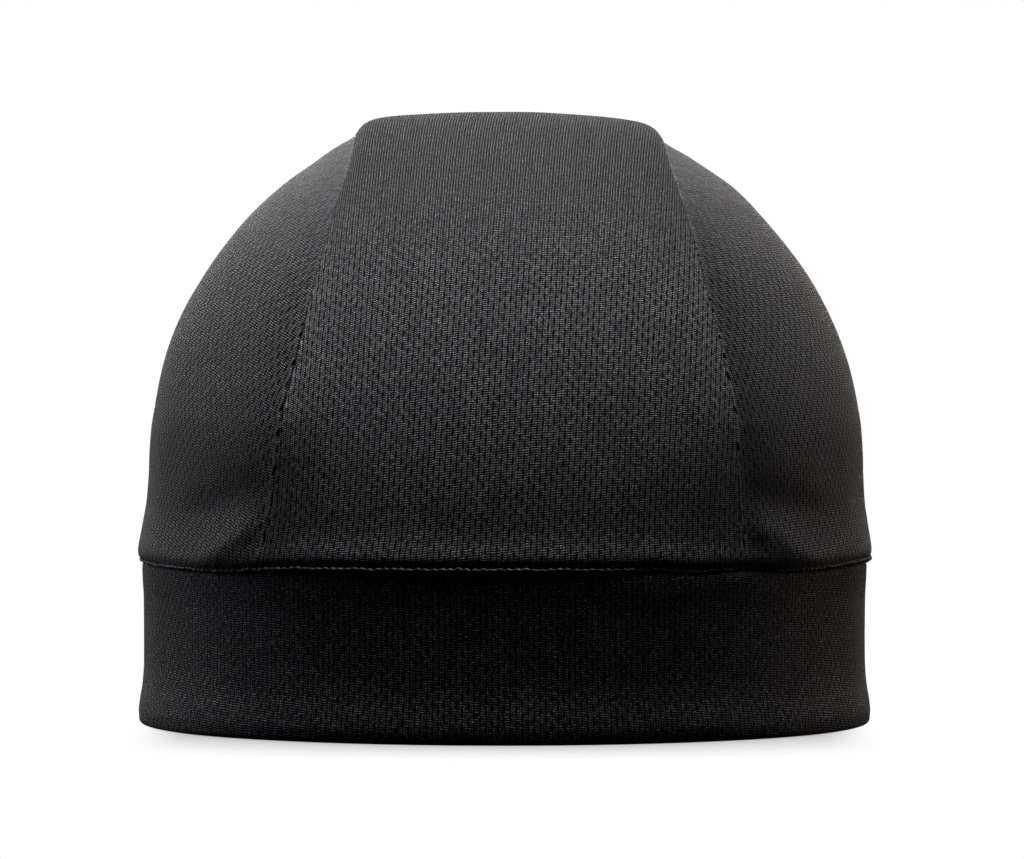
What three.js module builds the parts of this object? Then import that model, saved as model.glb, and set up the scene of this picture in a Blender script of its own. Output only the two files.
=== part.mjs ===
// A soft knit cap of four sewn pieces: a centre panel from front to back, a side panel left and
// right of it, and a folded band. Millimetres, +Z up, front towards -Y, left towards -X,
// origin on the surface that it stands on, under the middle of the cap.
import * as THREE from 'three';

// Cloth and sewing
const KNIT = 1.2;                 // thickness of one layer of knit
const SEAM_GAP = 0.3;             // clear gap between two sewn pieces
const SEAM_DIP_REACH = 4.5;       // how far from the seam the knit is drawn in
const SEAM_BLEND_REACH = 2.0;     // how far from the seam two panels lean the same way

// How far a crown seam is drawn in, by height: least at its foot and over the top
const SEAM_DIP = [
  { height: 40, depth: 0.25 },
  { height: 47, depth: 0.35 },
  { height: 56, depth: 0.75 },
  { height: 66, depth: 0.9 },
  { height: 94, depth: 0.89 },
  { height: 114, depth: 0.82 },
  { height: 130, depth: 0.64 },
  { height: 140, depth: 0.4 },
  { height: 146, depth: 0.2 },
];

// Band: its half sizes at mid height, and the height of the seam above it
const BAND_HALF_WIDTH = 86.1;
const BAND_HALF_DEPTH = 93.0;
const BAND_TOP = 39.6;

// How far the band's outer face stands off its mid-height ellipse
const BAND_PROFILE = [
  { height: 1.2, out: 1.15 },
  { height: 3.0, out: 1.3 },
  { height: 6.4, out: 0.9 },
  { height: 10.0, out: 0.3 },
  { height: 15.0, out: 0.0 },
  { height: 30.0, out: 0.05 },
  { height: 35.0, out: 0.3 },
  { height: 38.0, out: 0.4 },
  { height: 39.0, out: 0.15 },
  { height: 39.45, out: -0.35 },
];

// Under side of the hem's fold, in layers of knit: place across the fold from inside to outside,
// and height. Its middle is flat, because the cap stands on it.
const HEM_FOLD = [
  { across: -0.9, height: 0.4 },
  { across: -0.45, height: 0.0 },
  { across: 0.45, height: 0.0 },
  { across: 0.9, height: 0.4 },
];

// Crown: half sizes where its curve starts, and its rise from there to the top
const CROWN_HALF_WIDTH = 85.3;
const CROWN_HALF_DEPTH = 92.3;
const CROWN_START = 42.0;
const CROWN_RISE = 103.8;
const CROWN_ROUNDING = 1.85;      // 2 is an ellipse seen from the side; less leans back sooner

// How far the seams lie below the crown's centre line, and how the knit rolls over to them. At the
// top, a share of the drop is a sharp edge at the seam.
const SEAM_DROP_FOOT = 22.0;
const SEAM_DROP_TOP = { left: 5.6, right: 7.05 };
const DROP_EASING = 0.9;          // how evenly the drop shrinks up the crown
const ROLL_OVER = 2.14;
const EDGE_ROLL_OVER = 18;
const EDGE_SHARE = { left: 0.64, right: 0.53 };
const EDGE_EASING = 8;            // how late the edge appears up the crown

// The centre panel's half widths up the front, by the angle up its centre line in degrees
const CENTER_PANEL = [
  { angle: 0, left: 55.6, right: 54.9 },
  { angle: 10, left: 54.0, right: 54.7 },
  { angle: 20, left: 52.7, right: 54.2 },
  { angle: 30, left: 49.2, right: 51.8 },
  { angle: 45, left: 44.2, right: 46.9 },
  { angle: 60, left: 39.5, right: 42.4 },
  { angle: 70, left: 37.0, right: 39.9 },
  { angle: 80, left: 36.1, right: 38.6 },
  { angle: 90, left: 36.0, right: 38.4 },
];

const LEAST_ARC = 0.35;           // how far a side panel's arc always swells past its seams

// The crown's half widths seen from the front, below the crest of the side seams
const SIDE_PROFILE = [
  { height: 42.0, left: 85.1, right: 85.3 },
  { height: 59.0, left: 84.9, right: 85.6 },
  { height: 69.7, left: 84.4, right: 85.2 },
  { height: 77.0, left: 83.3, right: 84.2 },
  { height: 84.0, left: 81.8, right: 82.6 },
  { height: 91.2, left: 79.7, right: 80.2 },
  { height: 98.4, left: 76.6, right: 77.1 },
  { height: 105.6, left: 72.5, right: 73.2 },
  { height: 112.7, left: 67.7, right: 68.2 },
  { height: 119.9, left: 61.8, right: 62.2 },
  { height: 127.1, left: 54.4, right: 55.3 },
  { height: 134.2, left: 44.6, right: 45.3 },
  { height: 137.3, left: 40.4, right: 40.6 },
];

// How far the knit bulges over the band and is drawn in at the band's seam, at the cap's sides and
// at its front and back
const BULGE = [
  { height: 39.75, side: 1.2, front: 0.25 },
  { height: 40.5, side: 2.1, front: 0.85 },
  { height: 41.2, side: 2.38, front: 1.28 },
  { height: 42.0, side: 2.4, front: 1.45 },
  { height: 43.0, side: 2.28, front: 1.36 },
  { height: 44.8, side: 1.95, front: 0.86 },
  { height: 46.5, side: 1.6, front: 0.42 },
  { height: 49.0, side: 1.15, front: 0.1 },
  { height: 53.0, side: 0.5, front: 0.0 },
  { height: 60.0, side: 0.0, front: 0.0 },
];

// Soft folds of the side panels: turn is the angle round the cap from the front in degrees, positive
// to the right, rise the height gained for each degree of turn, and out is negative for a hollow
const FOLDS = [
  { place: 'left ridge', turn: -47, height: 46.2, rise: 0.6, length: 9, reach: 3.2, out: 0.8 },
  { place: 'left hollow', turn: -52, height: 54.2, rise: 0.35, length: 11, reach: 4.5, out: -0.7 },
  { place: 'right ridge', turn: 48, height: 46.4, rise: -0.5, length: 9, reach: 3.2, out: 0.65 },
  { place: 'right hollow', turn: 49, height: 54.7, rise: -0.3, length: 10, reach: 4.5, out: -0.7 },
  { place: 'back left ridge', turn: -132, height: 47.0, rise: -0.5, length: 9, reach: 3.4, out: 0.8 },
  { place: 'back left hollow', turn: -130, height: 55.2, rise: -0.3, length: 12, reach: 5.0, out: -0.6 },
  { place: 'back right ridge', turn: 129, height: 47.5, rise: 0.5, length: 10, reach: 3.4, out: 0.8 },
  { place: 'back right hollow', turn: 131, height: 55.7, rise: 0.3, length: 12, reach: 5.0, out: -0.6 },
];
const FOLD_FADE = 3.0;            // how far from a seam the folds fade out

// How far the seam above the band sags, by the angle from the front or back, negative to the left
const SEAM_SAG = [
  { turn: -90, down: 0.6 },
  { turn: -75, down: 0.95 },
  { turn: -62, down: 1.15 },
  { turn: -50, down: 1.35 },
  { turn: -44, down: 0.9 },
  { turn: -36, down: 0.15 },
  { turn: -28, down: 0.0 },
  { turn: 0, down: -0.15 },
  { turn: 24, down: 0.1 },
  { turn: 31, down: 0.7 },
  { turn: 40, down: 0.4 },
  { turn: 50, down: 1.2 },
  { turn: 56, down: 1.15 },
  { turn: 66, down: 0.7 },
  { turn: 78, down: 0.4 },
  { turn: 90, down: 0.35 },
];
const SAG_REACH = 9.0;            // how far above and below the seam the cloth sags with it

// Mesh steps
const CROWN_ROWS = 21;            // from the band to a side panel's top, on each slope
const CENTER_COLUMNS = 16;
const SIDE_COLUMNS = 18;
const BAND_STEPS = 80;
const ROW_CROWDING = 1.5;         // rows lie closer together near the band
const CENTER_CROWDING = 0.8;      // columns lie closer together at the seams
const SIDE_CROWDING = 0.6;
const SIDE_TOP_ANGLE = 87.5;      // where a side panel's last row closes it below the seam's crest
const LOWEST_ANGLE = -1;          // stands for the crown's lower edge, just above the band
const PROBE = 0.01;               // step for slopes, as a part of a mesh coordinate

const KNIT_COLOR = 0x1d1d1f;
const BAND_COLOR = 0x161618;

// Table reading

// The value of one column at a place, on a smooth curve that never overshoots its rows.
function readTable(rows, placeKey, valueKey, place) {
  const last = rows.length - 1;
  if (place <= rows[0][placeKey]) return rows[0][valueKey];
  if (place >= rows[last][placeKey]) return rows[last][valueKey];
  const stepOf = (i, key) => rows[i + 1][key] - rows[i][key];
  const slopeOf = (i) => stepOf(i, valueKey) / stepOf(i, placeKey);
  const tangentAt = (i) => {
    if (i === 0) return slopeOf(0);
    if (i === last) return slopeOf(last - 1);
    const before = slopeOf(i - 1);
    const after = slopeOf(i);
    return before * after <= 0 ? 0 : (2 * before * after) / (before + after);
  };
  const i = rows.findIndex((row, k) => k < last && place <= rows[k + 1][placeKey]);
  const span = rows[i + 1][placeKey] - rows[i][placeKey];
  const t = (place - rows[i][placeKey]) / span;
  const s = 1 - t;
  return rows[i][valueKey] * s * s * (1 + 2 * t) + rows[i + 1][valueKey] * t * t * (1 + 2 * s)
    + tangentAt(i) * span * t * s * s - tangentAt(i + 1) * span * t * t * s;
}

const bump = (distance, reach) => Math.exp(-((distance / reach) ** 2));

// Centre line and seams. An angle runs from 0 at the front foot over 90 at the top to 180 at the
// back foot; the back half is the front's mirror image. Below 0 and past 180 lies the straight foot.

const isBack = (angle) => angle > 90;
const frontAngle = (angle) => (isBack(angle) ? 180 - angle : angle);

const sideName = (side) => (side < 0 ? 'left' : 'right');
const halfWidthAt = (angle, side) => readTable(CENTER_PANEL, 'angle', sideName(side), frontAngle(angle));

function centerLine(angle, side) {
  const a = frontAngle(angle);
  const turn = THREE.MathUtils.degToRad(Math.max(a, 0));
  const foot = (Math.min(a, 0) / -LOWEST_ANGLE) * (CROWN_START - BAND_TOP - SEAM_GAP / 2);
  const up = Math.sin(turn);
  const forward = Math.max(1 - up ** CROWN_ROUNDING, 0) ** (1 / CROWN_ROUNDING);
  const point = new THREE.Vector3(0, -CROWN_HALF_DEPTH * forward, CROWN_START + CROWN_RISE * up + foot);
  const normal = new THREE.Vector3(
    0,
    -(forward ** (CROWN_ROUNDING - 1)) / CROWN_HALF_DEPTH,
    up ** (CROWN_ROUNDING - 1) / CROWN_RISE,
  );
  const topDrop = SEAM_DROP_TOP[sideName(side)];
  const drop = topDrop + (SEAM_DROP_FOOT - topDrop) * (1 - up) ** DROP_EASING;
  const edge = EDGE_SHARE[sideName(side)] * up ** EDGE_EASING;
  if (isBack(angle)) {
    point.y *= -1;
    normal.y *= -1;
  }
  return { point, normal: normal.normalize(), drop, edge };
}

// A point of the crown's smooth centre panel; across runs from -1 at the left seam to 1 at the right one.
function centerSurface(angle, across) {
  const side = Math.sign(across) || 1;
  const { point, normal, drop, edge } = centerLine(angle, side);
  const out = Math.abs(across);
  const share = (1 - edge) * out ** ROLL_OVER + edge * out ** EDGE_ROLL_OVER;
  return point.setX(across * halfWidthAt(angle, side)).addScaledVector(normal, -drop * share);
}

// A point of a smooth side panel: at the height of the front seam's angle, an arc of an ellipse that
// goes from the front seam to the back seam and is widest as the front outline says.
function sideSurface(side, angle, along) {
  const seam = centerSurface(angle, side);
  const crest = { height: centerSurface(90, side).z, [sideName(side)]: halfWidthAt(90, side) };
  const outline = readTable([...SIDE_PROFILE, crest], 'height', sideName(side), seam.z);
  const widest = Math.max(outline, Math.abs(seam.x) + LEAST_ARC);
  const seamTurn = Math.acos(Math.abs(seam.x) / widest);
  const halfDepth = Math.abs(seam.y) / Math.sin(seamTurn);
  const turn = seamTurn * along;
  return new THREE.Vector3(side * widest * Math.cos(turn), halfDepth * Math.sin(turn), seam.z);
}

// The shortest way from a point to the seam on one side, in mm.
const SEAM_LINES = Object.fromEntries([-1, 1].map((side) => {
  const corners = [];
  for (let angle = LOWEST_ANGLE; angle <= 180 - LOWEST_ANGLE; angle += 1) {
    corners.push(centerSurface(angle, side));
  }
  return [side, corners.slice(1).map((corner, i) => new THREE.Line3(corners[i], corner))];
}));

function distanceToSeam(point, side) {
  const nearest = new THREE.Vector3();
  const distanceTo = (line) => line.closestPointToPoint(point, true, nearest).distanceTo(point);
  return Math.min(...SEAM_LINES[side].map(distanceTo));
}

// How far the knit stands off the smooth crown: bulge over the band, seam dips and soft folds.
function relief(point, seamDistance, isCenter) {
  const turn = Math.atan2(point.x / CROWN_HALF_WIDTH, -point.y / CROWN_HALF_DEPTH);
  const dip = readTable(SEAM_DIP, 'height', 'depth', point.z);
  const sideShare = Math.sin(turn) ** 2;
  const bulge = sideShare * readTable(BULGE, 'height', 'side', point.z)
    + (1 - sideShare) * readTable(BULGE, 'height', 'front', point.z);
  const out = bulge - dip * bump(seamDistance, SEAM_DIP_REACH);
  if (isCenter) return out;
  const fade = 1 - bump(seamDistance, FOLD_FADE);
  return FOLDS.reduce((sum, fold) => {
    const off = THREE.MathUtils.radToDeg(turn) - fold.turn;
    const beside = bump(off, fold.length) * bump(point.z - fold.height - fold.rise * off, fold.reach);
    return sum + fade * fold.out * beside;
  }, out);
}

// The outward normal of a surface(u, v) at a place, from slopes taken inside its limits.
function normalOf(surface, u, v, limits) {
  const [u0, u1] = [Math.max(u - PROBE, limits.u[0]), Math.min(u + PROBE, limits.u[1])];
  const [v0, v1] = [Math.max(v - PROBE, limits.v[0]), Math.min(v + PROBE, limits.v[1])];
  const du = surface(u1, v).sub(surface(u0, v));
  const dv = surface(u, v1).sub(surface(u, v0));
  const normal = du.cross(dv).normalize();
  const here = surface(u, v);
  const outward = here.clone().setZ(here.z - CROWN_START);
  return normal.dot(outward) < 0 ? normal.negate() : normal;
}

const CENTER_LIMITS = { u: [LOWEST_ANGLE, 180 - LOWEST_ANGLE], v: [-1, 1] };
const SIDE_LIMITS = { u: [LOWEST_ANGLE, SIDE_TOP_ANGLE], v: [-1, 1] };

const centerNormal = (angle, across) => normalOf(centerSurface, angle, across, CENTER_LIMITS);
const sideNormal = (side, angle, along) => (
  normalOf((u, v) => sideSurface(side, u, v), angle, along, SIDE_LIMITS)
);

// At a seam both panels share one direction, so that their edges stay parallel. The end of a side
// panel's arc is -1 at the front seam and 1 at the back seam.
function seamNormal(side, angle, end) {
  const centerAngle = end < 0 ? angle : 180 - angle;
  return centerNormal(centerAngle, side).add(sideNormal(side, angle, end)).normalize();
}

// Panels

// Outer and inner point of one place of a panel: the knit's two faces. Close to a seam they stand
// off in the direction that both panels share there, and at the crown's foot they lie level.
function clothAt(point, side, ownNormal, sharedNormal, { isCenter, isFoot }) {
  const seamDistance = distanceToSeam(point, side);
  const direction = ownNormal.lerp(sharedNormal, bump(seamDistance, SEAM_BLEND_REACH)).normalize();
  const outer = point.clone().addScaledVector(direction, relief(point, seamDistance, isCenter));
  if (isFoot) direction.setZ(0).normalize();
  return { outer, inner: outer.clone().addScaledVector(direction, -KNIT) };
}

// Angles up one slope, closer together near the band. All panels share them, so that the edges on
// both sides of a seam have their corners side by side.
function slopeAngles() {
  const angles = [LOWEST_ANGLE, LOWEST_ANGLE / 2];
  for (let i = 0; i <= CROWN_ROWS; i += 1) angles.push(SIDE_TOP_ANGLE * (i / CROWN_ROWS) ** ROW_CROWDING);
  return angles;
}

// Places across a panel from -1 to 1, closer together at the seams.
function crossPlaces(columns, crowding) {
  return Array.from({ length: columns + 1 }, (_, j) => {
    const even = (2 * j) / columns - 1;
    return even * (1 - crowding) + Math.sin((even * Math.PI) / 2) * crowding;
  });
}

function centerPanelGrid() {
  const front = slopeAngles();
  const back = front.toReversed().map((angle) => 180 - angle);
  return [...front, 90, ...back].map((angle) => crossPlaces(CENTER_COLUMNS, CENTER_CROWDING).map((even) => {
    const side = Math.sign(even) || 1;
    const halfWidth = halfWidthAt(angle, side);
    const across = even * (1 - SEAM_GAP / 2 / halfWidth);
    const seamAngle = Math.min(frontAngle(angle), SIDE_TOP_ANGLE);
    const shared = seamNormal(side, seamAngle, isBack(angle) ? 1 : -1);
    const place = { isCenter: true, isFoot: frontAngle(angle) === LOWEST_ANGLE };
    return clothAt(centerSurface(angle, across), side, centerNormal(angle, across), shared, place);
  }));
}

function sidePanelGrid(side) {
  return slopeAngles().map((angle) => {
    const seam = sideSurface(side, angle, -1);
    const arc = Math.hypot(sideSurface(side, angle, 0).x - seam.x, seam.y);
    return crossPlaces(SIDE_COLUMNS, SIDE_CROWDING).map((even) => {
      const along = even * (1 - SEAM_GAP / 2 / arc);
      const shared = seamNormal(side, angle, Math.sign(even) || 1);
      const place = { isCenter: false, isFoot: angle === LOWEST_ANGLE };
      return clothAt(sideSurface(side, angle, along), side, sideNormal(side, angle, along), shared, place);
    });
  });
}

// Moves a finished point down as far as the seam above the band sags there.
function sag(point) {
  const turn = Math.atan2(point.x / CROWN_HALF_WIDTH, Math.abs(point.y) / CROWN_HALF_DEPTH);
  const down = readTable(SEAM_SAG, 'turn', 'down', THREE.MathUtils.radToDeg(turn));
  return point.setZ(point.z - down * bump(point.z - BAND_TOP, SAG_REACH));
}

// Closed solids

function solid(points, triangles) {
  points.forEach(sag);
  const geometry = new THREE.BufferGeometry();
  geometry.setAttribute('position', new THREE.Float32BufferAttribute(points.flatMap((p) => p.toArray()), 3));
  let volume = 0;
  for (const [a, b, c] of triangles) volume += points[a].dot(points[b].clone().cross(points[c])) / 6;
  const outward = volume > 0 ? triangles : triangles.map(([a, b, c]) => [a, c, b]);
  geometry.setIndex(outward.flat());
  geometry.computeVertexNormals();
  return geometry;
}

const quad = (a, b, c, d) => [[a, b, c], [a, c, d]];

// A shell between the outer and inner points of a grid, closed round its four edges.
function shell(grid) {
  const rows = grid.length;
  const columns = grid[0].length;
  const inside = rows * columns;
  const at = (i, j) => i * columns + j;
  const points = [...grid.flat().map((p) => p.outer), ...grid.flat().map((p) => p.inner)];
  const triangles = [];
  for (let i = 0; i < rows - 1; i += 1) {
    for (let j = 0; j < columns - 1; j += 1) {
      const corners = [at(i, j), at(i, j + 1), at(i + 1, j + 1), at(i + 1, j)];
      triangles.push(...quad(...corners));
      triangles.push(...quad(...corners.reverse().map((k) => k + inside)));
    }
  }
  const edge = [];
  for (let j = 0; j < columns - 1; j += 1) edge.push(at(0, j));
  for (let i = 0; i < rows - 1; i += 1) edge.push(at(i, columns - 1));
  for (let j = columns - 1; j > 0; j -= 1) edge.push(at(rows - 1, j));
  for (let i = rows - 1; i > 0; i -= 1) edge.push(at(i, 0));
  edge.forEach((here, k) => {
    const next = edge[(k + 1) % edge.length];
    triangles.push(...quad(here, here + inside, next + inside, next));
  });
  return solid(points, triangles);
}

// The band's section as a closed loop of { out, height }: up the outer face, down the inner face,
// and round the hem's fold.
function bandSection() {
  const outer = BAND_PROFILE.map((row) => ({ out: row.out, height: row.height }));
  const inner = BAND_PROFILE.map((row) => ({ out: row.out - 2 * KNIT, height: row.height })).reverse();
  const foldMiddle = BAND_PROFILE[0].out - KNIT;
  const hem = HEM_FOLD.map((row) => ({ out: foldMiddle + row.across * KNIT, height: row.height * KNIT }));
  return [...outer, ...inner, ...hem];
}

function bandSolid() {
  const section = bandSection();
  const points = [];
  for (let i = 0; i < BAND_STEPS; i += 1) {
    const turn = (2 * Math.PI * i) / BAND_STEPS;
    const [cos, sin] = [Math.cos(turn), Math.sin(turn)];
    const away = new THREE.Vector3(cos / BAND_HALF_WIDTH, sin / BAND_HALF_DEPTH, 0).normalize();
    for (const { out, height } of section) {
      const point = new THREE.Vector3(BAND_HALF_WIDTH * cos, BAND_HALF_DEPTH * sin, height);
      points.push(point.addScaledVector(away, out));
    }
  }
  const count = section.length;
  const at = (i, k) => (i % BAND_STEPS) * count + (k % count);
  const triangles = [];
  for (let i = 0; i < BAND_STEPS; i += 1) {
    for (let k = 0; k < count; k += 1) {
      triangles.push(...quad(at(i, k), at(i + 1, k), at(i + 1, k + 1), at(i, k + 1)));
    }
  }
  return solid(points, triangles);
}

// The cap

function piece(name, geometry, color) {
  const cloth = new THREE.MeshStandardMaterial({ color, roughness: 0.85, metalness: 0 });
  const mesh = new THREE.Mesh(geometry, cloth);
  mesh.name = name;
  return mesh;
}

const cap = new THREE.Group();
cap.add(piece('crown_center_panel', shell(centerPanelGrid()), KNIT_COLOR));
cap.add(piece('crown_side_panel_left', shell(sidePanelGrid(-1)), KNIT_COLOR));
cap.add(piece('crown_side_panel_right', shell(sidePanelGrid(1)), KNIT_COLOR));
cap.add(piece('band', bandSolid(), BAND_COLOR));

export default cap;
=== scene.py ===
import math
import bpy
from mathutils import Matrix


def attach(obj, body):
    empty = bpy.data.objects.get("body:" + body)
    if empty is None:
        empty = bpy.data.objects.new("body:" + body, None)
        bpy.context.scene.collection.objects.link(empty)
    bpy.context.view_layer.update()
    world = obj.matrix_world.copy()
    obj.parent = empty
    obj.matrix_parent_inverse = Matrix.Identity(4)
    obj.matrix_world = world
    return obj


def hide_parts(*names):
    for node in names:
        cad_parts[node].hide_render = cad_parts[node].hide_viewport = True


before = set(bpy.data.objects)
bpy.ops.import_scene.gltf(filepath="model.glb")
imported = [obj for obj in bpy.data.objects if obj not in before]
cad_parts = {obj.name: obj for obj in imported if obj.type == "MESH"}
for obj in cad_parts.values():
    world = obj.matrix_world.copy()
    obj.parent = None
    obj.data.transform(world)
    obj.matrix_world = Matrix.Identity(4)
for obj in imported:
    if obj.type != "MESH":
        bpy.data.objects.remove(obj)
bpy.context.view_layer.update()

from types import SimpleNamespace

import bmesh
import bpy
import numpy as np
from mathutils import Vector

# The cap: sizes in millimetres, the same as in the model's source

MM = 0.001
KNIT = 1.2
SEAM_GAP = 0.3
SEAM_DIP_REACH = 4.5
SEAM_BLEND_REACH = 2.0

# How far a crown seam is drawn in, by height: least at its foot and over the top
SEAM_DIP = {
    "height": [40, 47, 56, 66, 94, 114, 130, 140, 146],
    "depth": [0.25, 0.35, 0.75, 0.9, 0.89, 0.82, 0.64, 0.4, 0.2],
}

BAND_HALF_WIDTH = 86.1
BAND_HALF_DEPTH = 93.0
BAND_TOP = 39.6
BAND_PROFILE = {
    "height": [1.2, 3.0, 6.4, 10.0, 15.0, 30.0, 35.0, 38.0, 39.0, 39.45],
    "out": [1.15, 1.3, 0.9, 0.3, 0.0, 0.05, 0.3, 0.4, 0.15, -0.35],
}

CROWN_HALF_WIDTH = 85.3
CROWN_HALF_DEPTH = 92.3
CROWN_START = 42.0
CROWN_RISE = 103.8
CROWN_ROUNDING = 1.85
SEAM_DROP_FOOT = 22.0
SEAM_DROP_TOP = {-1: 5.6, 1: 7.05}
DROP_EASING = 0.9
ROLL_OVER = 2.14
EDGE_ROLL_OVER = 18
EDGE_SHARE = {-1: 0.64, 1: 0.53}
EDGE_EASING = 8
LOWEST_ANGLE = -1.0
FOOT_HEIGHT = 39.75
LEAST_ARC = 0.35

# Half widths of the centre panel, left (-1) and right (1), by the angle up its centre line
CENTER_PANEL = {
    "angle": [0, 10, 20, 30, 45, 60, 70, 80, 90],
    -1: [55.6, 54.0, 52.7, 49.2, 44.2, 39.5, 37.0, 36.1, 36.0],
    1: [54.9, 54.7, 54.2, 51.8, 46.9, 42.4, 39.9, 38.6, 38.4],
}

# Half widths of the crown, left and right, by height
SIDE_PROFILE = {
    "height": [42.0, 59.0, 69.7, 77.0, 84.0, 91.2, 98.4, 105.6, 112.7, 119.9, 127.1, 134.2, 137.3],
    -1: [85.1, 84.9, 84.4, 83.3, 81.8, 79.7, 76.6, 72.5, 67.7, 61.8, 54.4, 44.6, 40.4],
    1: [85.3, 85.6, 85.2, 84.2, 82.6, 80.2, 77.1, 73.2, 68.2, 62.2, 55.3, 45.3, 40.6],
}

# How far the knit bulges over the band, at the sides and at the front and back
BULGE = {
    "height": [39.75, 40.5, 41.2, 42.0, 43.0, 44.8, 46.5, 49.0, 53.0, 60.0],
    "side": [1.2, 2.1, 2.38, 2.4, 2.28, 1.95, 1.6, 1.15, 0.5, 0.0],
    "front": [0.25, 0.85, 1.28, 1.45, 1.36, 0.86, 0.42, 0.1, 0.0, 0.0],
}

# Soft folds of the side panels: turn, height, rise, length, reach, out
FOLDS = [
    (-47, 46.2, 0.6, 9, 3.2, 0.8),
    (-52, 54.2, 0.35, 11, 4.5, -0.7),
    (48, 46.4, -0.5, 9, 3.2, 0.65),
    (49, 54.7, -0.3, 10, 4.5, -0.7),
    (-132, 47.0, -0.5, 9, 3.4, 0.8),
    (-130, 55.2, -0.3, 12, 5.0, -0.6),
    (129, 47.5, 0.5, 10, 3.4, 0.8),
    (131, 55.7, 0.3, 12, 5.0, -0.6),
]
FOLD_FADE = 3.0

# How far the seam above the band sags, by the angle from the front or back
SEAM_SAG = {
    "turn": [-90, -75, -62, -50, -44, -36, -28, 0, 24, 31, 40, 50, 56, 66, 78, 90],
    "down": [0.6, 0.95, 1.15, 1.35, 0.9, 0.15, 0, -0.15, 0.1, 0.7, 0.4, 1.2, 1.15, 0.7, 0.4, 0.35],
}
SAG_REACH = 9.0

# What only the finished cloth has. Near each seam: distance from it, reach, out
CENTER_EDGE = [(0.05, 0.26, -0.26)]
SIDE_EDGE = [(0.0, 0.16, -0.2), (0.45, 0.36, 0.26)]
SCALLOP = (0.95, 0.5, 0.26)
STITCH = 4.2
SEAM_WORK = {
    "height": [40.0, 54.0, 62.0, 92.0, 100.0, 112.0, 146.0],
    "share": [0.5, 0.6, 1.0, 1.0, 0.5, 0.2, 0.1],
}
RIGHT_SHARE = 0.5

# The cloth's puckers along a seam: height, distance from it, reach, pitch and phase
PUCKER = 0.07
PUCKER_AT = 1.5
PUCKER_REACH = 5.0
PUCKER_PITCH = 6.5
PUCKER_PHASE = 0.4

# The unevenness of slack cloth, with a seed for the crown and for the band
SLACK = 0.1
CROWN_SEED = 0.7
BAND_SEED = 2.9

# Waves that make an irregular ripple together: rate, share of the phase, shift and strength
RIPPLE_WAVES = [(1.0, 1.0, 0.0, 1.0), (0.61, 2.1, 1.0, 0.7), (1.7, 0.0, 3.3, 0.5)]

# Waves that make slack cloth uneven together: rates along x, y and z, share of the seed and shift
SLACK_WAVES = [
    (0.21, 0.0, 0.13, 1.0, 0.0),
    (0.0, 0.17, -0.19, 1.7, 0.0),
    (0.11, -0.09, 0.31, 0.0, 2.3),
    (0.37, -0.23, 0.29, 1.0, 0.0),
]

# Mesh steps up the cap and across it, and the columns close to a seam, with the room that they need
ROW_STEP = 0.6
FOOT_STEPS = 4
CROSS_STEP = 2.0
BAND_STEP = 1.2
NEAR_SEAM = np.array([0.0, 0.2, 0.45, 0.75, 1.15, 1.7, 2.4, 3.4])
NEAR_SEAM_ROOM = 12.0
SIDE_TOP_ANGLE = 89.6
FOOT_MARGIN = 0.1

# How many corners a curve has where it is measured
SEAM_CORNERS = 365
SLOPE_CORNERS = 2000
ARC_CORNERS = 60

# The band's folded cloth: steps down from its top edge, room above the fold, and steps round it
BAND_RINGS = 470
LAYER_GAP = 0.1
BAND_EDGE_STEPS = [0.0, 0.12, 0.35, 0.75]
BAND_FIRST_STEP = 1.5
FOLD_ROOM = 1.0
FOLD_STEPS = 10

# Where the band's unevenness fades out, towards the hem and towards the seam: start and reach
HEM_FADE = (1.0, 6.0)
SEAM_FADE = (38.0, 5.0)

# The cord-like edge in the crease over the band: turn, radius and how far it stands out
WELT_RINGS = 2600
WELT_HEIGHT = 39.9
WELT_SPOKES = 10
WELT_TWIST = 1.9
WELT_PLY = 0.3
WELT_FRIZZ = 1.5
WELT = {
    "turn": [-180, -90, -44, -10, 13, 24, 36, 41, 54, 75, 90, 130, 180],
    "radius": [0.34, 0.32, 0.36, 0.36, 0.34, 0.3, 0.28, 0.24, 0.38, 0.55, 0.6, 0.45, 0.34],
    "out": [0.5, 0.6, 0.6, 0.7, 0.55, 0.15, 0.0, -0.3, 0.4, 0.85, 0.8, 0.6, 0.5],
}

# How the welt wavers out, up and in thickness: strength, pitch and phase of each ripple
WELT_WAVER = {
    "out": [(0.14, 5.3, 0.3)],
    "up": [(0.16, 7.9, 1.1), (0.07, 3.1, 2.6)],
    "thick": [(0.2, 2.3, 2.0)],
}

# The thread sunk in the crown seams, down at each stitch, with its ends short of the seam's
THREAD_RADIUS = 0.1
THREAD_TIP = 0.02
THREAD_DEPTH = 0.3
THREAD_DIP = 0.14
THREAD_END = 1.2
THREAD_STEP = 0.34
THREAD_SPOKES = 7
THREAD_TWIST = 0.9
THREAD_FRIZZ = 2.0
THREAD_FACES_FROM = (0, 0, 52.0)

# Knit: columns of holes half a repeat from their neighbours, six courses of loops to a repeat
COURSES = 6
HOLE_WIDTH = 0.22
HOLE_LENGTH = 0.3
HOLE_EDGE = (1.3, 0.5)
HOLE_SHADE = 0.97
KNIT_RELIEF = 0.3
RUNG_HEIGHT = 0.35
ZIGZAG = 0.14
COURSE_SHIFT = 0.3
RUNG_REACH = 0.22
LOOP_SHARPNESS = 5.0
LOOP_LIGHT = 4.57
TURNED_AWAY = (0.3, 1.0)

# Fibres in a column and in a course
FIBERS = (4.3, 1.9)

# Scale and strength of what is slowly uneven: the columns, the rows and the tone
COLUMN_WANDER = (1.1, 0.3)
ROW_WANDER = (0.7, 0.12)
CLOUDS = (0.05, 0.12)

# Over the top the stretched cloth's holes close between these heights, and its fine wales show instead
PLAIN_TOP = (100.0, 134.0)
HOLE_CLOSING = 0.93
TOP_SHARE = 0.9
LINE_LIGHT = 2.6

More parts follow.
